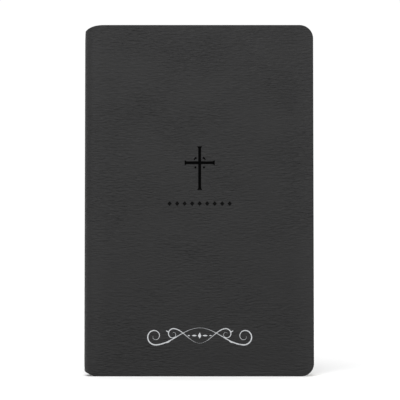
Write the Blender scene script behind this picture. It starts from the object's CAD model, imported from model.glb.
"""Blender model of a slim leather-bound Bible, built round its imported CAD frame.

The book stands on its tail edge, with the spine at -X and the front cover towards -Y.
Lengths in this script are millimetres until a mesh, a light or the camera is made.
"""

import math

import bmesh
import bpy
import numpy as np
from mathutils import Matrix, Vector
from mathutils.geometry import delaunay_2d_cdt


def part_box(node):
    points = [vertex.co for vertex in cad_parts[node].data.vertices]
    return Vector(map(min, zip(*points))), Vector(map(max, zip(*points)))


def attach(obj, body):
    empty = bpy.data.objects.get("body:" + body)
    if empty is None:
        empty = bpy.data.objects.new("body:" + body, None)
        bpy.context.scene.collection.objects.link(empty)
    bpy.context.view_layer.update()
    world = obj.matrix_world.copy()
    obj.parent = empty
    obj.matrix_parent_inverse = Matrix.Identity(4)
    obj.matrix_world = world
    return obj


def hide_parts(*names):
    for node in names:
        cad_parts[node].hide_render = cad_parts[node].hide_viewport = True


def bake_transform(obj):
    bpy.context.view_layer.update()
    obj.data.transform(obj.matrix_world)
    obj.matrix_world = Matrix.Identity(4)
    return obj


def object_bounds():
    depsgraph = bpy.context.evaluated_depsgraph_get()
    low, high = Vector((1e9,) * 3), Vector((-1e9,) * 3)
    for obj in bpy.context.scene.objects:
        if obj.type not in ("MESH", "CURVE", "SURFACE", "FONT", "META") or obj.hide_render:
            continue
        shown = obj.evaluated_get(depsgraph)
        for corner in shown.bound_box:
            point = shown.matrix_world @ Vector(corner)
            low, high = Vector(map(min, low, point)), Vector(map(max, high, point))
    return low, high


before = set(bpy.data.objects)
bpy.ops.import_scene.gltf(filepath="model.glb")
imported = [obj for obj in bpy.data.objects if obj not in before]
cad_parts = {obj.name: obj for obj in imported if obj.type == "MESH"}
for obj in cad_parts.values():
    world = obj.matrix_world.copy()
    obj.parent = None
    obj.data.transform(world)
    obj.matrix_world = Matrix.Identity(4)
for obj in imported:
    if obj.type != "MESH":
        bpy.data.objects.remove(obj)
cad_low, cad_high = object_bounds()

MM = 0.001
rng = np.random.default_rng(24)


def box_mm(node):
    """Lowest and highest corner of a CAD node."""
    low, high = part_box(node)
    return np.array(low) / MM, np.array(high) / MM


# ---------- sizes read from the frame ----------

SPINE_X, FORE_X = cad_low.x / MM, cad_high.x / MM
HEIGHT = cad_high.z / MM
leather_low, leather_high = box_mm("front_cover_leather")
board_low = box_mm("front_board")[0]
fly_low, fly_high = box_mm("front_flyleaf")
card_low = box_mm("spine_stiffener")[0]
fold_low, fold_high = box_mm("signature_folds")
foil_high = box_mm("cross_foil")[1]
JOINT_X = leather_low[0]
FACE = -leather_low[1]  # distance of a cover's outer face from the middle of the book
COVER_T = leather_high[1] - leather_low[1]  # board with leather on both faces
LEATHER_T = board_low[1] - leather_low[1]
BOARD_X = board_low[0]
RECESS = FACE + foil_high[1]  # depth of the stamped recesses
FLY_FACE = -fly_low[1]  # distance of a flyleaf's outer face from the middle of the book
FLY_BEND_X = fly_low[0]
PAGE_END_X = fly_high[0]
PAGE_Z0, PAGE_Z1 = fold_low[2], fold_high[2]
PAPER_T = fly_high[1] - fly_low[1]
SPINE_T = card_low[0] - SPINE_X + 0.5  # leather, and room for its turned-in layer, at the spine

# Shape of the covers and spine, as in part.scad.
HEAD_R, TAIL_R = 8.3, 7.8  # corner radii at the fore-edge
HEAD_SLOPE_W, HEAD_SLOPE_H, HEAD_SLOPE_POWER = 13.0, 3.2, 2.4
TAIL_SLOPE, TAIL_SOFT = 0.45, 0.7
SPINE_POWER = 2.6
PAGE_R = 8.0
SIGNATURES = 24

TURN_IN = 12.8  # how far the turned-in leather reaches from the edge of a cover
TURN_STEP = 0.3  # how far the leather drops from its turned-in layer to the board
PANEL_X = BOARD_X + 0.4  # where the covers' flat panels start
HINGE_X = JOINT_X - 0.05
BEND_END_X = BOARD_X + 0.05  # where the leather of the joint is fully on its cover
BLEND_PAGE = 14.0  # length over which a page curves at the gutter


def head_fall(x):
    """How far the head edge lies below the full height at x."""
    u = np.maximum(0.0, SPINE_X + HEAD_SLOPE_W - x) / HEAD_SLOPE_W
    return HEAD_SLOPE_H * u**HEAD_SLOPE_POWER


def tail_rise(x):
    """How far the tail edge lies above the floor at x."""
    return np.hypot(TAIL_SOFT, TAIL_SLOPE * np.maximum(0.0, JOINT_X - x)) - TAIL_SOFT


def ease(t):
    """Smooth step from 0 to 1 while t goes from 0 to 1."""
    t = min(1.0, max(0.0, t))
    return t * t * (3 - 2 * t)


# ---------- mesh helpers ----------


class Shape:
    """Points in millimetres with a flat texture place each, and faces."""

    def __init__(self):
        self.points, self.places, self.faces, self.materials = [], [], [], []

    def add(self, points, places):
        start = len(self.points)
        self.points += [tuple(map(float, p)) for p in points]
        self.places += [tuple(map(float, p)) for p in places]
        return list(range(start, len(self.points)))

    def face(self, corners, material=0):
        self.faces.append(tuple(corners))
        self.materials.append(material)

    def strip(self, a, b, closed=False, material=0):
        """Quads between two rows of the same length."""
        n = len(a)
        for i in range(n if closed else n - 1):
            j = (i + 1) % n
            self.face((a[i], a[j], b[j], b[i]), material)

    def make(self, name, materials, join=1e-4, sharp=40.0):
        """Object with points closer than join merged, and edges sharper than sharp degrees kept."""
        mesh = bpy.data.meshes.new(name)
        mesh.from_pydata((np.array(self.points) * MM).tolist(), [], self.faces)
        vertex = np.zeros(len(mesh.loops), np.int32)
        mesh.loops.foreach_get("vertex_index", vertex)
        places = np.array(self.places, np.float32)[vertex]
        mesh.uv_layers.new(name="grain").data.foreach_set("uv", places.ravel())
        mesh.polygons.foreach_set("material_index", self.materials)
        for material in materials:
            mesh.materials.append(material)
        clean(mesh, join * MM)
        mesh.validate()
        mesh.shade_smooth()
        mesh.set_sharp_from_angle(angle=math.radians(sharp))
        obj = bpy.data.objects.new(name, mesh)
        bpy.context.scene.collection.objects.link(obj)
        return obj


def clean(mesh, distance):
    """Merges points closer than distance and turns all faces outwards."""
    work = bmesh.new()
    work.from_mesh(mesh)
    bmesh.ops.remove_doubles(work, verts=work.verts, dist=distance)
    bmesh.ops.dissolve_degenerate(work, dist=distance, edges=work.edges)
    bmesh.ops.recalc_face_normals(work, faces=work.faces)
    work.to_mesh(mesh)
    work.free()


def arc(cx, cy, r, a0, a1, n):
    """n + 1 points on an arc about (cx, cy), from angle a0 to a1 in degrees."""
    a = np.radians(np.linspace(a0, a1, n + 1))
    return np.stack([cx + r * np.cos(a), cy + r * np.sin(a)], 1)


# ---------- materials ----------


class Nodes:
    """Material with a small set of helpers that add shader nodes and link them."""

    def __init__(self, name, base, roughness, specular=0.5, metallic=0.0):
        self.material = bpy.data.materials.new(name)
        self.material.use_nodes = True
        self.material.diffuse_color = (*base, 1)
        self.tree = self.material.node_tree
        self.shader = self.tree.nodes["Principled BSDF"]
        self.shader.inputs["Base Color"].default_value = (*base, 1)
        self.shader.inputs["Roughness"].default_value = roughness
        self.shader.inputs["Specular IOR Level"].default_value = specular
        self.shader.inputs["Metallic"].default_value = metallic

    def node(self, kind, **settings):
        made = self.tree.nodes.new(kind)
        for key, value in settings.items():
            setattr(made, key, value)
        return made

    def link(self, source, target):
        self.tree.links.new(source, target)

    def feed(self, socket, value):
        """Sets a socket to a constant, or links it to another node's output."""
        if isinstance(value, (int, float, tuple)):
            socket.default_value = value
        else:
            self.link(value, socket)

    def places(self, scale=(1, 1, 1), rotation=0.0, uv=True):
        """Texture places in millimetres, stretched by scale."""
        if uv:
            source = self.node("ShaderNodeUVMap", uv_map="grain").outputs["UV"]
            factor = 1.0
        else:
            source = self.node("ShaderNodeTexCoord").outputs["Object"]
            factor = 1 / MM
        mapping = self.node("ShaderNodeMapping")
        mapping.inputs["Scale"].default_value = [s * factor for s in scale]
        mapping.inputs["Rotation"].default_value = (0, 0, math.radians(rotation))
        self.link(source, mapping.inputs["Vector"])
        return mapping.outputs["Vector"]

    def split(self, vector):
        """X, Y and Z of a vector."""
        made = self.node("ShaderNodeSeparateXYZ")
        self.link(vector, made.inputs["Vector"])
        return made.outputs["X"], made.outputs["Y"], made.outputs["Z"]

    def noise(self, vector, detail=2.0, rough=0.5, distortion=0.0):
        made = self.node("ShaderNodeTexNoise")
        made.inputs["Scale"].default_value = 1.0
        made.inputs["Detail"].default_value = detail
        made.inputs["Roughness"].default_value = rough
        made.inputs["Distortion"].default_value = distortion
        self.link(vector, made.inputs["Vector"])
        return made.outputs["Fac"]

    def cell_walls(self, vector):
        """Distance to the nearest wall between irregular cells."""
        made = self.node("ShaderNodeTexVoronoi", feature="DISTANCE_TO_EDGE")
        made.inputs["Scale"].default_value = 1.0
        self.link(vector, made.inputs["Vector"])
        return made.outputs["Distance"]

    def math(self, operation, a, b=0.0):
        made = self.node("ShaderNodeMath", operation=operation)
        self.feed(made.inputs[0], a)
        self.feed(made.inputs[1], b)
        return made.outputs[0]

    def invert(self, value):
        return self.math("SUBTRACT", 1.0, value)

    def between(self, value, low, high):
        """1 where value lies between low and high, and 0 elsewhere."""
        above = self.math("GREATER_THAN", value, low)
        return self.math("MULTIPLY", above, self.math("LESS_THAN", value, high))

    def spread(self, value, low, high, to_low, to_high):
        """Maps value from low..high to to_low..to_high."""
        made = self.node("ShaderNodeMapRange")
        made.inputs["From Min"].default_value = low
        made.inputs["From Max"].default_value = high
        made.inputs["To Min"].default_value = to_low
        made.inputs["To Max"].default_value = to_high
        self.link(value, made.inputs["Value"])
        return made.outputs["Result"]

    def colours(self, value, stops):
        """Colour ramp from (position, colour) stops."""
        ramp = self.node("ShaderNodeValToRGB")
        marks = ramp.color_ramp.elements
        while len(marks) < len(stops):
            marks.new(0.5)
        for mark, (place, colour) in zip(marks, stops, strict=True):
            mark.position = place
            mark.color = (*colour, 1)
        self.link(value, ramp.inputs["Fac"])
        return ramp.outputs["Color"]

    def mix(self, factor, a, b):
        made = self.node("ShaderNodeMix", data_type="RGBA")
        self.feed(made.inputs["Factor"], factor)
        self.feed(made.inputs["A"], a)
        self.feed(made.inputs["B"], b)
        return made.outputs["Result"]

    def bump(self, heights):
        """Chains (height, depth in millimetres) pairs into one normal."""
        normal = None
        for height, depth in heights:
            made = self.node("ShaderNodeBump")
            made.inputs["Strength"].default_value = 1.0
            made.inputs["Distance"].default_value = depth * MM
            self.link(height, made.inputs["Height"])
            if normal is not None:
                self.link(normal, made.inputs["Normal"])
            normal = made.outputs["Normal"]
        self.link(normal, self.shader.inputs["Normal"])

    def colour(self, value):
        self.link(value, self.shader.inputs["Base Color"])

    def roughness(self, value):
        self.link(value, self.shader.inputs["Roughness"])


def leather_material():
    """Charcoal imitation leather: soft wrinkles across the cover over a fine pebble grain."""
    m = Nodes("charcoal_leather", (0.019, 0.019, 0.0193), 0.6, specular=0.12)
    # Wrinkles run across the book, a few millimetres long and about 1.5 mm apart.
    wavy = m.noise(m.places((0.23, 0.68, 1), 1), 2.0, 0.5, 0.45)
    wrinkle = m.spread(m.math("ABSOLUTE", m.math("SUBTRACT", wavy, 0.5)), 0.0, 0.10, 0.0, 1.0)
    swell = m.noise(m.places((0.27, 0.98, 1), -1), 0.6, 0.5, 0.5)
    strength = m.spread(m.noise(m.places((0.02, 0.024, 1))), 0.35, 0.62, 0.35, 1.0)
    pebble = m.spread(m.cell_walls(m.places((0.95, 1.45, 1))), 0.0, 0.16, 0.0, 1.0)
    tone = m.noise(m.places((0.02, 0.028, 1)), 3.0)
    base = m.colours(tone, [(0.3, (0.0168, 0.0168, 0.0170)), (0.7, (0.0188, 0.0188, 0.0190))])
    # Handling polishes the leather a little lighter along the spine, fore-edge and tail.
    across, up, _ = m.split(m.places())
    fore_wear = m.spread(across, FORE_X - 13, FORE_X - 2, 0.0, 0.7)
    joint_wear = m.spread(across, JOINT_X + 9, JOINT_X - 2, 0.0, 0.6)
    tail_wear = m.spread(up, 9.0, 0.0, 0.0, 0.6)
    wear = m.math("MAXIMUM", m.math("MAXIMUM", fore_wear, joint_wear), tail_wear)
    base = m.mix(wear, base, (0.0219, 0.0219, 0.0221, 1))
    crease = m.math("MULTIPLY", m.math("MULTIPLY", m.invert(wrinkle), strength), 0.24)
    pore = m.math("MULTIPLY", m.invert(pebble), 0.30)
    m.colour(m.mix(m.math("MAXIMUM", crease, pore), base, (0.0070, 0.0070, 0.0072, 1)))
    m.roughness(m.spread(wavy, 0.3, 0.7, 0.54, 0.66))
    m.bump(
        [
            (m.math("MULTIPLY", swell, strength), 1.05),
            (m.math("MULTIPLY", wrinkle, strength), 0.08),
            (pebble, 0.03),
        ]
    )
    return m.material


PRINT_PITCH = 2.9  # from one line of print to the next
PRINT_ROWS = (22.0, 196.0)
PRINT_COLUMNS = ((-46.0, 1.0), (6.0, 53.0))


def print_mask(m):
    """1 on rows of dashes in two columns, which stand in for print."""
    across, up, _ = m.split(m.places())
    row = m.math("DIVIDE", up, PRINT_PITCH)
    line = m.between(m.math("FRACT", row), 0.28, 0.66)
    seed = m.node("ShaderNodeCombineXYZ")
    m.link(m.math("MULTIPLY", across, 0.42), seed.inputs["X"])
    m.link(m.math("MULTIPLY", m.math("FLOOR", row), 7.31), seed.inputs["Y"])
    dash = m.math("GREATER_THAN", m.noise(seed.outputs["Vector"], 1.0), 0.43)
    columns = m.math("ADD", *(m.between(across, low, high) for low, high in PRINT_COLUMNS))
    block = m.math("MULTIPLY", columns, m.between(up, *PRINT_ROWS))
    return m.math("MULTIPLY", m.math("MULTIPLY", line, dash), block)


def paper_material(name, colour, printed=False):
    """Thin paper, a little clouded, with or without print."""
    m = Nodes(name, colour, 0.85, specular=0.2)
    fibre = m.noise(m.places((1.2, 2.6, 1)), 4.0, 0.6, 0.6)
    cloud = m.noise(m.places((0.04, 0.05, 1)))
    dark = tuple(0.93 * c for c in colour)
    paper = m.colours(cloud, [(0.3, dark), (0.7, colour)])
    if printed:
        paper = m.mix(m.math("MULTIPLY", print_mask(m), 0.62), paper, (0.12, 0.115, 0.11, 1))
    m.colour(paper)
    m.roughness(m.spread(fibre, 0.3, 0.7, 0.78, 0.92))
    m.bump([(fibre, 0.02)])
    return m.material


def edge_material():
    """Edges of a block of thin leaves, with a fine line for each leaf."""
    m = Nodes("page_edges", (0.80, 0.775, 0.70), 0.8, specular=0.2)
    leaves = m.noise(m.places((0.02, 14.0, 0.02), uv=False), 3.0, 0.7)
    cloud = m.noise(m.places((0.03, 0.3, 0.03), uv=False))
    lines = m.colours(
        leaves,
        [(0.32, (0.42, 0.395, 0.335)), (0.46, (0.68, 0.655, 0.59)), (0.7, (0.74, 0.72, 0.655))],
    )
    m.colour(m.mix(m.spread(cloud, 0.3, 0.7, 0.0, 0.25), lines, (0.66, 0.62, 0.52, 1)))
    m.roughness(m.spread(leaves, 0.3, 0.7, 0.75, 0.9))
    m.bump([(leaves, 0.06)])
    return m.material


def foil_material(name, colour, dark, roughness=0.5, specular=0.5, metallic=0.0):
    """Stamping foil, slightly broken where it didn't take."""
    m = Nodes(name, colour, roughness, specular, metallic)
    wear = m.noise(m.places((0.9, 1.1, 1.0), uv=False), 4.0, 0.6, 0.2)
    speck = m.noise(m.places((5.0, 5.0, 5.0), uv=False))
    m.colour(m.colours(wear, [(0.22, dark), (0.42, colour)]))
    m.roughness(m.spread(speck, 0.3, 0.7, roughness - 0.06, roughness + 0.12))
    m.bump([(speck, 0.012)])
    return m.material


def board_material(name, colour, pitch):
    """Pressed board or card with fibres and specks."""
    m = Nodes(name, colour, 0.88)
    fibre = m.noise(m.places((pitch, pitch * 2.5, pitch), uv=False), 5.0, 0.65, 1.0)
    dark = tuple(0.62 * c for c in colour)
    light = tuple(min(1.0, 1.18 * c) for c in colour)
    m.colour(m.colours(fibre, [(0.25, dark), (0.5, colour), (0.75, light)]))
    m.roughness(m.spread(fibre, 0.3, 0.7, 0.8, 0.95))
    m.bump([(fibre, 0.05)])
    return m.material


def weave_material(name, colour, pitch):
    """Plain weave of two sets of threads, pitch millimetres apart."""
    m = Nodes(name, colour, 0.85)
    turn = 2 * math.pi / pitch
    _, across, up = m.split(m.places(uv=False))
    warp = m.math("ABSOLUTE", m.math("SINE", m.math("MULTIPLY", up, turn)))
    weft = m.math("ABSOLUTE", m.math("SINE", m.math("MULTIPLY", across, turn)))
    height = m.math("MAXIMUM", warp, weft)
    fuzz = m.noise(m.places((6, 6, 6), uv=False))
    dark = tuple(0.45 * c for c in colour)
    m.colour(m.colours(height, [(0.35, dark), (0.8, colour)]))
    m.roughness(m.spread(fuzz, 0.3, 0.7, 0.75, 0.95))
    m.bump([(height, 0.08), (fuzz, 0.03)])
    return m.material


def band_material():
    """Silk-wrapped band in black and white stripes along its length."""
    m = Nodes("band_stripes", (0.8, 0.8, 0.78), 0.5)
    along = m.split(m.places())[0]
    stripe = m.math("FRACT", m.math("DIVIDE", along, 2.0))
    thread = m.noise(m.places((9.0, 0.6, 1)), 2.0, 0.6)
    black, white = (0.03, 0.03, 0.032, 1), (0.74, 0.73, 0.69, 1)
    base = m.mix(m.math("GREATER_THAN", stripe, 0.5), black, white)
    m.colour(m.mix(m.spread(thread, 0.35, 0.65, 0.0, 0.3), base, (0.35, 0.34, 0.32, 1)))
    m.roughness(m.spread(thread, 0.3, 0.7, 0.42, 0.62))
    m.bump([(thread, 0.05)])
    return m.material


def glue_material():
    """Lumpy yellowed glue."""
    m = Nodes("binding_glue", (0.78, 0.74, 0.60), 0.4)
    lumps = m.noise(m.places((0.7, 0.7, 0.25), uv=False), 4.0, 0.6, 0.4)
    m.colour(m.colours(lumps, [(0.3, (0.62, 0.56, 0.40)), (0.7, (0.82, 0.79, 0.66))]))
    m.roughness(m.spread(lumps, 0.3, 0.7, 0.3, 0.55))
    m.bump([(lumps, 0.1)])
    return m.material


leather = leather_material()
endpaper = paper_material("cream_endpaper", (0.60, 0.555, 0.45))
page = paper_material("printed_page", (0.66, 0.64, 0.585), printed=True)
page_edge = edge_material()
black_foil = foil_material("black_foil", (0.0005,) * 3, (0.0015,) * 3, specular=0.012)
dark_foil = foil_material("dark_stamping", (0.0014,) * 3, (0.0035,) * 3, specular=0.04)
silver_foil = foil_material(
    "silver_foil", (0.50, 0.51, 0.525), (0.20, 0.20, 0.21), roughness=0.36, metallic=0.85
)
stripes = band_material()

# ---------- leather wrap ----------

EDGE_SAG = 0.22  # how far the padded face falls away towards its edges
SAG_W = 8.0  # width of the border that falls away
FACE_INSETS = [1.7, 2.6, 3.8, 5.4, 7.5]  # rings of points on that border
EDGE_STEPS = 8
PANEL_ROWS = 38
SPINE_STEPS = 32
RECESS_SLOPE = 0.07  # how far a recess is narrower at its floor than at its rim
PLEATS = 7  # half waves of gathered leather in half a turn
PLEAT_LIFTS = [0.10, 0.075, 0.05, 0.0, 0.0]  # their height, for each ring of the turned-in layer
SPINE_REACH = 0.695  # share of the cover's turned-in width at the crown of the spine


def sag(inset):
    """How far the face lies below its middle, inset millimetres from the edge."""
    return EDGE_SAG * max(0.0, 1 - inset / SAG_W) ** 2


EDGE_R = (COVER_T - sag(1.0)) / 2  # rounding of a cover's turned edges
TURN_INSETS = [EDGE_R + 1.2, EDGE_R + 3.4, EDGE_R + 6.2, EDGE_R + 9.0, TURN_IN]


def cover_ring(inset):
    """Outline of a cover's panel from its joint at the tail round to its joint at the head."""
    side_x = FORE_X - inset
    low_r, high_r = max(TAIL_R - inset, 0.4), max(HEAD_R - inset, 0.4)
    low, high = inset + low_r, HEIGHT - inset - high_r
    start = SPINE_X + HEAD_SLOPE_W
    tail_x = np.linspace(PANEL_X, side_x - low_r, 25)[:-1]
    tail = np.stack([tail_x, np.full(len(tail_x), inset)], 1)
    low_corner = arc(side_x - low_r, low, low_r, -90, 0, 12)
    side_z = np.linspace(low, high, 31)[1:-1]
    side = np.stack([np.full(len(side_z), side_x), side_z], 1)
    high_corner = arc(side_x - high_r, high, high_r, 0, 90, 12)
    head_x = np.concatenate(
        [np.linspace(side_x - high_r, start, 23)[1:], np.linspace(start, PANEL_X, 5)[1:]]
    )
    head = np.stack([head_x, HEIGHT - inset - head_fall(head_x)], 1)
    return np.concatenate([tail, low_corner, side, high_corner, head])


def edge_profile(thickness):
    """(inset, depth, path length) of the rounded edge, from the face round to the inner side."""
    top = sag(1.0)
    r = (thickness - top) / 2
    turn = np.linspace(0, math.pi, EDGE_STEPS + 1)
    return r - r * np.sin(turn), top + r - r * np.cos(turn), r * turn


def face_rows(x):
    """(height, depth) of the rows of the outer face at x."""
    low, high = tail_rise(x), HEIGHT - head_fall(x)
    last = FACE_INSETS[-1]
    middle = low + last + (high - low - 2 * last) * np.linspace(0, 1, PANEL_ROWS + 1)
    border = [(low + i, sag(i)) for i in FACE_INSETS[:-1]]
    rows = border + [(z, sag(last)) for z in middle]
    return rows + [(high - i, sag(i)) for i in reversed(FACE_INSETS[:-1])]


def signed_area(points):
    """Area inside an outline, positive where it runs anticlockwise."""
    x, y = np.array(points).T
    return 0.5 * float(np.dot(x, np.roll(y, -1)) - np.dot(y, np.roll(x, -1)))


def foil_triangles(nodes):
    """Front triangles of stamped CAD nodes, anticlockwise as seen from the front."""
    triangles = []
    for name in nodes:
        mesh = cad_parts[name].data
        mesh.calc_loop_triangles()
        front = min(v.co.y for v in mesh.vertices)
        for t in mesh.loop_triangles:
            corners = [mesh.vertices[i].co for i in t.vertices]
            if all(abs(c.y - front) < 1e-6 for c in corners):
                places = [(c.x / MM, c.z / MM) for c in corners]
                triangles.append(places if signed_area(places) >= 0 else places[::-1])
    return triangles


def cut_face(ring, stamped):
    """Points that fill ring, its faces, and apart from them the faces inside the stamped nodes."""
    points = [tuple(p) for p in ring]
    faces = [list(range(len(points)))]
    for triangle in foil_triangles(stamped):
        faces.append(list(range(len(points), len(points) + 3)))
        points += triangle
    points, _, faces, _, _, origins = delaunay_2d_cdt([Vector(p) for p in points], [], faces, 1, 1e-4)
    inside = [any(i > 0 for i in origin) for origin in origins]
    level = [corners for corners, sunk in zip(faces, inside, strict=True) if not sunk]
    sunken = [corners for corners, sunk in zip(faces, inside, strict=True) if sunk]
    return np.array([tuple(p) for p in points]), level, sunken


def add_front_face(shape, ring, y_of, stamped):
    """Flat outer face inside ring, with stamped recesses whose walls slope inwards."""
    places, level, sunken = cut_face(ring, stamped)
    top = shape.add([(x, y_of(0.0), z) for x, z in places], places)
    for corners in level:
        shape.face([top[i] for i in corners])
    edges = [(a, b) for c in sunken for a, b in zip(c, [*c[1:], c[0]], strict=True)]
    known = set(edges)
    rim = [(a, b) for a, b in edges if (b, a) not in known]
    inward = np.zeros_like(places)
    for a, b in rim:
        d = places[b] - places[a]
        left = np.array([-d[1], d[0]]) / max(np.linalg.norm(d), 1e-9)
        inward[a] += left
        inward[b] += left
    length = np.linalg.norm(inward, axis=1, keepdims=True)
    inward = np.where(length > 0.2, inward / np.maximum(length, 1e-9), 0.0)
    lowered = sorted({i for corners in sunken for i in corners})
    floor_places = (places + inward * RECESS_SLOPE)[lowered]
    floor_points = [(x, y_of(RECESS), z) for x, z in floor_places]
    floor = dict(zip(lowered, shape.add(floor_points, floor_places), strict=True))
    for corners in sunken:
        shape.face([floor[i] for i in corners])
    for a, b in rim:
        shape.face((top[a], top[b], floor[b], floor[a]))


def pleat(ring, depth):
    """How far the gathered leather stands up round the fore-edge corners, for each point."""
    out = np.zeros(len(ring))
    for i, (x, z) in enumerate(ring):
        over = abs(z - HEIGHT / 2) - (HEIGHT / 2 - TAIL_R)
        across = x - (FORE_X - TAIL_R)
        if across > 0 and over > 0:
            angle = math.atan2(over, across)
            out[i] = depth * abs(math.sin(PLEATS * angle)) * math.sin(2 * angle)
    return out


def panel_rings():
    """(inset, depth, inset of its texture place, pleat height) of each ring round a cover's edge."""
    insets, depths, paths = edge_profile(COVER_T)
    rings = [(i, sag(i), i, 0.0) for i in reversed(FACE_INSETS)]
    rings += [(i, d, EDGE_R - s, 0.0) for i, d, s in zip(insets, depths, paths, strict=True)]
    unrolled = EDGE_R - paths[-1]
    for inset, lift in zip(TURN_INSETS, PLEAT_LIFTS, strict=True):
        rings.append((inset, COVER_T, unrolled - (inset - EDGE_R), lift))
    last_place = unrolled - (TURN_IN - EDGE_R) - TURN_STEP
    rings.append((TURN_IN, COVER_T - TURN_STEP, last_place, 0.0))
    return rings


def add_panel(shape, side, stamped):
    """Flat panel of one cover with its rounded edges and turned-in leather."""
    level = sag(FACE_INSETS[-1])

    def y_of(depth):
        return side * (FACE - depth)

    joint_rows = [z for z, depth in face_rows(PANEL_X) if depth == level]
    joint_side = [(PANEL_X, z) for z in reversed(joint_rows[1:-1])]
    flat_ring = np.concatenate([cover_ring(FACE_INSETS[-1]), joint_side])
    add_front_face(shape, flat_ring, lambda depth: y_of(depth + level), stamped)
    previous = None
    for inset, depth, place_inset, lift in panel_rings():
        ring = cover_ring(inset)
        rise = pleat(ring, lift)
        points = [(x, y_of(depth + r), z) for (x, z), r in zip(ring, rise, strict=True)]
        row = shape.add(points, cover_ring(place_inset))
        if previous is not None:
            shape.strip(previous, row)
        previous = row
    inner = np.linspace(HEIGHT - head_fall(PANEL_X) - TURN_IN, TURN_IN, 9)[1:-1]
    inner_y = y_of(COVER_T - TURN_STEP)
    extra = shape.add([(PANEL_X, inner_y, z) for z in inner], [(PANEL_X, z) for z in inner])
    shape.face(previous + extra)


def spine_point(angle, depth):
    """Place in plan on the rounded spine, depth inside its outer face. Angle 0 is the crown."""
    c = max(0.0, math.cos(math.radians(angle))) ** (2 / SPINE_POWER)
    s = math.sin(math.radians(angle)) ** (2 / SPINE_POWER)
    return HINGE_X - (HINGE_X - SPINE_X - depth) * c, (FACE - depth) * s


def flat_point(x, depth):
    """Place in plan on the flat joint, depth inside its outer face."""
    return x, FACE - depth


def wrap_stations():
    """(place function, its value, edge thickness, leather thickness, reach) round half the spine
    and along the joint. Reach is the share of the cover's turned-in width."""
    made = []
    for angle in np.linspace(0, 90, SPINE_STEPS + 1):
        grow = min(1.0, max(0.0, (angle - 35) / 55))
        thickness = SPINE_T + (COVER_T - SPINE_T) * ease(grow)
        reach = SPINE_REACH + (1 - SPINE_REACH) * grow
        made.append((spine_point, angle, thickness, LEATHER_T, reach))
    for x in np.linspace(HINGE_X, BOARD_X - 0.1, 12)[1:]:
        made.append((flat_point, x, COVER_T, LEATHER_T, 1.0))
    for x in (BEND_END_X, PANEL_X):
        made.append((flat_point, x, COVER_T, COVER_T - TURN_STEP, 1.0))
    return made


def wrap_section(x, thickness, skin, reach):
    """(height, depth, length along the leather) round one closed cross-section of the wrap."""
    low, high = tail_rise(x), HEIGHT - head_fall(x)
    insets, depths, paths = edge_profile(thickness)
    edge = list(zip(insets, depths, paths, strict=True))
    turned = [(inset - EDGE_R) * reach for inset in TURN_INSETS]
    head = high - insets[0] + paths[-1]
    tail = low + insets[0] - paths[-1]
    section = [(z, depth, z) for z, depth in face_rows(x)]
    section += [(high - i, d, high - insets[0] + s) for i, d, s in edge]
    section += [(high - insets[-1] - t, thickness, head + t) for t in turned]
    inner_high, inner_low = section[-1][0], low + insets[-1] + turned[-1]
    section += [
        (inner_high + (inner_low - inner_high) * t, skin, head + 12 + 20 * t)
        for t in np.linspace(0, 1, 9)
    ]
    section += [(low + insets[-1] + t, thickness, tail - t) for t in reversed(turned)]
    section += [(low + i, d, low + insets[0] - s) for i, d, s in reversed(edge)]
    return section


def add_wrap(shape, side):
    """Leather of half the spine and of one joint, with its edges turned in."""
    stations = wrap_stations()
    outer = np.array([place(value, 0.0) for place, value, *_ in stations])
    steps = np.linalg.norm(np.diff(outer, axis=0), axis=1)
    along = PANEL_X - np.concatenate([np.cumsum(steps[::-1])[::-1], [0.0]])
    previous = None
    for (place, value, thickness, skin, reach), u in zip(stations, along, strict=True):
        points, places = [], []
        for z, depth, v in wrap_section(place(value, 0.0)[0], thickness, skin, reach):
            x, y = place(value, depth)
            points.append((x, side * y, z))
            places.append((u, v))
        row = shape.add(points, places)
        if previous is not None:
            shape.strip(previous, row, closed=True)
        else:
            shape.face(row)
        previous = row


def leather_half(name, side, stamped, node):
    """Leather of one cover, its joint and half the spine, as one piece that bends at the joint."""
    shape = Shape()
    add_wrap(shape, side)
    add_panel(shape, side, stamped)
    obj = shape.make(name, [leather], join=0.002, sharp=50)
    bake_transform(obj)
    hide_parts(node, "spine_leather")


ORNAMENTS = ["cross_foil", "title_ornament", "silver_flourish"]
leather_half("front_leather_wrap", -1, ORNAMENTS, "front_cover_leather")
leather_half("back_leather_wrap", 1, [], "back_cover_leather")

# ---------- endpapers ----------

FOLD_IN = 5.2  # distance from the spine to the fixed edge of a flyleaf's fold
PASTE_IN = 5.6  # distance from the spine to the fixed edge of a pastedown
PASTE_GAP = 0.05  # air between a pastedown and the board
PASTE_START_X = BOARD_X + 1.0  # where a pastedown has risen onto its board
STEP_W = 0.8  # width over which a pastedown steps up onto the turned-in leather


def page_rows(x, x_end):
    """Lowest and highest point of a page at x, with its rounded fore-edge corners."""
    u = np.maximum(0.0, x - (x_end - PAGE_R))
    cut = PAGE_R - np.sqrt(np.maximum(0.0, PAGE_R**2 - u * u))
    return PAGE_Z0 + cut, PAGE_Z1 - cut


def page_columns(x0, x_bend, x_end):
    """Places across a page, close together at the bend and round its corners."""
    bend = np.linspace(x_bend, x_bend + BLEND_PAGE, 21)
    middle = np.linspace(x_bend + BLEND_PAGE, x_end - PAGE_R, 6)[1:]
    corner = x_end - PAGE_R + PAGE_R * np.sin(np.radians(np.linspace(0, 90, 10)[1:]))
    start = np.linspace(x0, x_bend, 4)[:-1] if x0 < x_bend - 0.2 else []
    return np.concatenate([start, bend, middle, corner])


def close_sheet(shape, grids, edge=1):
    """Faces of a thin sheet between two grids of points, with its edges in material edge."""
    for grid in grids:
        for a, b in zip(grid, grid[1:], strict=False):
            shape.strip(a, b)
    front, back = grids
    for k in (0, -1):
        shape.strip([column[k] for column in front], [column[k] for column in back], material=edge)
    for k in (0, -1):
        shape.strip(front[k], back[k], material=edge)


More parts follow.
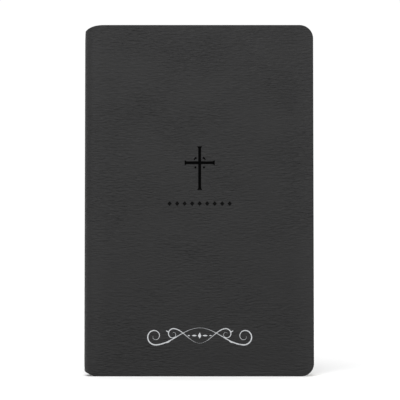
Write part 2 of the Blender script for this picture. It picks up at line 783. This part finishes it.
def add_sheet(shape, columns, x_end, y, thickness, z_rows=2, trim=(0.0, 0.0)):
    """Flat closed sheet with its middle at y."""
    grids = []
    for sign in (-1, 1):
        grid = []
        for x in columns:
            low, high = page_rows(x, x_end)
            zs = np.linspace(low + trim[0], high - trim[1], z_rows)
            face_y = y + sign * thickness / 2
            grid.append(shape.add([(x, face_y, z) for z in zs], [(x, z) for z in zs]))
        grids.append(grid)
    close_sheet(shape, grids)


def flyleaf(side, name, node):
    """Loose half of an endpaper, with the fold that holds it."""
    shape = Shape()
    columns = page_columns(SPINE_X + FOLD_IN, FLY_BEND_X, PAGE_END_X)
    add_sheet(shape, columns, PAGE_END_X, side * (FLY_FACE - PAPER_T / 2), PAPER_T, z_rows=12)
    obj = shape.make(name, [endpaper, page_edge])
    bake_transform(obj)
    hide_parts(node, "endpaper_folds")


flyleaf(-1, "front_flyleaf_sheet", "front_flyleaf")
flyleaf(1, "back_flyleaf_sheet", "back_flyleaf")


def paste_columns():
    """Places across a pastedown, close together in the joint and at the step near the fore-edge."""
    step_x = FORE_X - TURN_IN
    columns = np.concatenate(
        [
            np.linspace(SPINE_X + PASTE_IN, HINGE_X, 4)[:-1],
            np.linspace(HINGE_X, PASTE_START_X, 13),
            np.linspace(PASTE_START_X, step_x - 0.8, 12)[1:],
            np.linspace(step_x - 0.4, step_x + 0.6, 5),
            np.linspace(step_x + 0.6, PAGE_END_X - PAGE_R, 3)[1:],
            PAGE_END_X - PAGE_R + PAGE_R * np.sin(np.radians(np.linspace(0, 90, 10)[1:])),
        ]
    )
    return np.unique(np.round(columns, 4))


def paste_rows(x):
    """Heights of a pastedown's points at x, close together at its steps near head and tail."""
    bottom, top = page_rows(x, PAGE_END_X)
    low, high = TURN_IN, HEIGHT - TURN_IN
    inner = np.concatenate(
        [
            np.linspace(low - 0.6, low + 0.6, 7),
            np.linspace(low + 0.6, high - 0.6, 14)[1:-1],
            np.linspace(high - 0.6, high + 0.6, 7),
        ]
    )
    ends = [bottom, (bottom + inner[0]) / 2, (top + inner[-1]) / 2, top]
    return np.sort(np.clip(np.concatenate([ends, inner]), bottom, top))


def paste_y(x, z):
    """Distance of a pastedown's middle from the middle of the book."""
    on_leather = FACE - COVER_T - PAPER_T / 2
    on_board = on_leather + TURN_STEP + PASTE_GAP
    in_hinge = FLY_FACE + PAPER_T / 2 + 0.02
    past_step = max(x - (FORE_X - TURN_IN), TURN_IN - z, z - (HEIGHT - TURN_IN))
    level = on_board + (on_leather - on_board) * ease(past_step / STEP_W + 0.5)
    return in_hinge + (level - in_hinge) * ease((x - HINGE_X) / (PASTE_START_X - HINGE_X))


def pastedown(side, name, node):
    """Endpaper glued inside a cover, raised over the turned-in leather, with its inner hinge."""
    shape = Shape()
    grids = []
    for sign in (-1, 1):
        grid = []
        for x in paste_columns():
            zs = paste_rows(x)
            points = [(x, side * paste_y(x, z) + sign * PAPER_T * 0.48, z) for z in zs]
            grid.append(shape.add(points, [(x, z) for z in zs]))
        grids.append(grid)
    close_sheet(shape, grids)
    obj = shape.make(name, [endpaper, page_edge])
    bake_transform(obj)
    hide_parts(node)


pastedown(-1, "front_pastedown_sheet", "front_pastedown")
pastedown(1, "back_pastedown_sheet", "back_pastedown")

# ---------- signatures ----------

SHEETS = 5  # gatherings of leaves modelled in each signature
SHEET_FILL = 0.92  # share of its room that each gathering fills
FOLD_ROUND = 0.35  # how far the outer gatherings stand back at the fold
MIDDLE_END_X = box_mm("signature_12")[1][0]


def signature(number):
    """One sewn signature with slightly uneven gatherings, which curves up out of the gutter."""
    name = f"signature_{number:02d}"
    low, high = box_mm(name)
    x_bend, x_end = low[0], high[0]
    pitch = (high[1] - low[1]) / SHEETS
    # The block's spine is rounded as its fore-edge is, so the fold shifts with the fore-edge.
    fold_x = fold_low[0] + (x_end - MIDDLE_END_X)
    shape = Shape()
    for k in range(SHEETS):
        off_middle = abs(k - (SHEETS - 1) / 2) / (SHEETS / 2)
        end = x_end - rng.uniform(0.0, 0.12)
        trim = rng.uniform(0.0, 0.08, 2)
        columns = page_columns(fold_x + FOLD_ROUND * off_middle**2, x_bend, end)
        add_sheet(shape, columns, end, low[1] + pitch * (k + 0.5), pitch * SHEET_FILL, trim=trim)
    obj = shape.make(name + "_pages", [page, page_edge])
    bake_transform(obj)
    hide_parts(name, "signature_folds")


for number in range(1, SIGNATURES + 1):
    signature(number)

# ---------- head and tail bands ----------

BEAD_R = 1.05
BEAD_GAP = 0.05  # air between the bead and its CAD node's faces
BEAD_ROUND = 1.36  # how far the bead's middle stands behind its ends
BEAD_STEPS, BEAD_SIDES = 96, 16
THREAD_PITCH = 0.5
SKIRT_DEPTHS = (0.12, 0.38)  # outer and inner face of the cloth skirt, inside the bead's back
SKIRT_STEPS = 24


def add_bead(shape, crown_x, centre_z, round_r, limit):
    """Bead of wrapped thread along an arc of radius round_r, from angle -limit to limit."""
    previous = None
    for a in np.linspace(-limit, limit, BEAD_STEPS + 1):
        along = a * round_r
        rib = 1 + 0.045 * math.cos(2 * math.pi * along / THREAD_PITCH)
        taper = 1 - 0.35 * (abs(a) / limit) ** 12
        r = BEAD_R * rib * taper
        cx, cy = crown_x + round_r * (1 - math.cos(a)), round_r * math.sin(a)
        ring, places = [], []
        for t in 2 * math.pi * np.arange(BEAD_SIDES) / BEAD_SIDES:
            out = r * math.cos(t)
            ring.append((cx - out * math.cos(a), cy + out * math.sin(a), centre_z + r * math.sin(t)))
            places.append((along, t * BEAD_R))
        row = shape.add(ring, places)
        if previous is None:
            shape.face(row)
        else:
            shape.strip(previous, row, closed=True)
        previous = row
    shape.face(previous[::-1])


def add_skirt(shape, crown_x, heights, round_r, limit):
    """Cloth skirt of a band, glued down on the spine of the block."""
    grids = []
    for depth in SKIRT_DEPTHS:
        r = round_r + BEAD_R - depth
        grid = []
        for a in np.linspace(-limit, limit, SKIRT_STEPS + 1):
            x, y = crown_x + round_r - r * math.cos(a), r * math.sin(a)
            grid.append(shape.add([(x, y, z) for z in heights], [(a * round_r, z) for z in heights]))
        grids.append(grid)
    close_sheet(shape, grids, edge=0)


def band(name, node, head):
    """Wrapped bead round the edge of the block at the spine, with its skirt."""
    low, high = box_mm(node)
    half_y = (high[1] - low[1]) / 2
    centre_z = high[2] - BEAD_R - BEAD_GAP if head else low[2] + BEAD_R + BEAD_GAP
    # The bead follows the rounded spine, which is a circle through its crown and ends.
    crown_x = low[0] + BEAD_R + BEAD_GAP
    round_r = (half_y**2 + BEAD_ROUND**2) / (2 * BEAD_ROUND)
    limit = math.asin(half_y * 0.985 / round_r)
    skirt_low, skirt_high = (low[2], centre_z) if head else (centre_z, high[2])
    shape = Shape()
    add_bead(shape, crown_x, centre_z, round_r, limit)
    add_skirt(shape, crown_x, np.linspace(skirt_low, skirt_high, 5), round_r, limit)
    obj = shape.make(name, [stripes])
    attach(obj, "spine")
    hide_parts(node)


band("head_band_wrapped", "head_band", True)
band("tail_band_wrapped", "tail_band", False)

# ---------- carried-over CAD parts ----------


def finish_node(name, material):
    """Gives a CAD node that stays visible its own material."""
    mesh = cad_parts[name].data
    mesh.materials.clear()
    mesh.materials.append(material)


finish_node("cross_foil", black_foil)
finish_node("title_ornament", dark_foil)
finish_node("silver_flourish", silver_foil)
pasteboard = board_material("pasteboard", (0.36, 0.30, 0.21), 1.2)
finish_node("front_board", pasteboard)
finish_node("back_board", pasteboard)
finish_node("spine_stiffener", board_material("spine_card", (0.42, 0.35, 0.24), 2.0))
finish_node("spine_hollow", board_material("kraft_paper", (0.40, 0.26, 0.14), 3.0))
finish_node("spine_mull", weave_material("mull_cloth", (0.75, 0.72, 0.64), 1.6))
finish_node("spine_glue", glue_material())
finish_node("sewing_thread", weave_material("linen_thread", (0.80, 0.77, 0.70), 0.4))

# ---------- studio ----------

FLOOR_REACH = 30.0  # metres, so that the floor's rim is out of sight


def studio_floor():
    """Pale floor that reaches out of sight on every side."""
    m = Nodes("studio_paper", (0.93, 0.93, 0.93), 0.9, specular=0.1)
    cloud = m.noise(m.places((0.004, 0.004, 0.004), uv=False))
    m.colour(m.colours(cloud, [(0.3, (0.925, 0.925, 0.925)), (0.7, (0.935, 0.935, 0.935))]))
    mesh = bpy.data.meshes.new("studio_floor")
    points = [(x * FLOOR_REACH, y * FLOOR_REACH, 0) for x, y in ((-1, -1), (1, -1), (1, 1), (-1, 1))]
    mesh.from_pydata(points, [], [(0, 1, 2, 3)])
    mesh.materials.append(m.material)
    obj = bpy.data.objects.new("studio_floor", mesh)
    bpy.context.scene.collection.objects.link(obj)


def area_light(name, place, target, size, power):
    """Rectangular light; place, target and size are in metres."""
    data = bpy.data.lights.new(name, "AREA")
    data.shape = "RECTANGLE"
    data.size, data.size_y = size
    data.energy = power
    obj = bpy.data.objects.new(name, data)
    bpy.context.scene.collection.objects.link(obj)
    obj.location = place
    obj.rotation_euler = (Vector(target) - Vector(place)).to_track_quat("-Z", "Y").to_euler()


def soft_sun(name, azimuth, elevation, strength, softness):
    """Large soft light from far away; azimuth is measured from the front of the book."""
    data = bpy.data.lights.new(name, "SUN")
    data.energy = strength
    data.angle = math.radians(softness)
    obj = bpy.data.objects.new(name, data)
    bpy.context.scene.collection.objects.link(obj)
    a, e = math.radians(azimuth - 90), math.radians(elevation)
    towards = Vector((math.cos(a) * math.cos(e), math.sin(a) * math.cos(e), math.sin(e)))
    obj.rotation_euler = towards.to_track_quat("Z", "Y").to_euler()


def studio_world(horizon, zenith):
    """White walls all round, with a dimmer ceiling."""
    world = bpy.data.worlds.new("studio_world")
    world.use_nodes = True
    tree = world.node_tree
    background = tree.nodes["Background"]
    background.inputs["Color"].default_value = (1, 1, 1, 1)
    direction = tree.nodes.new("ShaderNodeTexCoord")
    split = tree.nodes.new("ShaderNodeSeparateXYZ")
    level = tree.nodes.new("ShaderNodeMapRange")
    level.interpolation_type = "SMOOTHSTEP"
    level.inputs["From Min"].default_value = 0.25
    level.inputs["From Max"].default_value = 0.8
    level.inputs["To Min"].default_value = horizon
    level.inputs["To Max"].default_value = zenith
    tree.links.new(direction.outputs["Generated"], split.inputs["Vector"])
    tree.links.new(split.outputs["Z"], level.inputs["Value"])
    tree.links.new(level.outputs["Result"], background.inputs["Strength"])
    bpy.context.scene.world = world


def studio_camera():
    """Camera square to the front cover, a little below its middle and looking up."""
    distance, tilt = 1.05, math.radians(2.39)
    view_width = 0.2443  # width of the view where the cover is, in metres
    data = bpy.data.cameras.new("studio_camera")
    data.sensor_width = 36
    data.lens = data.sensor_width * distance / view_width
    data.clip_start, data.clip_end = 0.05, 30
    obj = bpy.data.objects.new("studio_camera", data)
    bpy.context.scene.collection.objects.link(obj)
    target = Vector((0.0008, -FACE * MM, HEIGHT / 2 * MM - 0.0001))
    away = Vector((0, -math.cos(tilt), -math.sin(tilt)))
    obj.location = target + away * distance
    obj.rotation_euler = (-away).to_track_quat("-Z", "Y").to_euler()
    bpy.context.scene.camera = obj


studio_floor()
studio_world(horizon=1.03, zenith=0.55)
soft_sun("front_light", azimuth=-8, elevation=50, strength=1.2, softness=40)
soft_sun("back_light", azimuth=165, elevation=48, strength=0.6, softness=60)
area_light("top_softbox", (-0.05, -0.37, 0.40), (-0.02, -0.01, 0.20), (0.3, 0.15), 1.15)
studio_camera()
bpy.context.scene.view_settings.view_transform = "Standard"
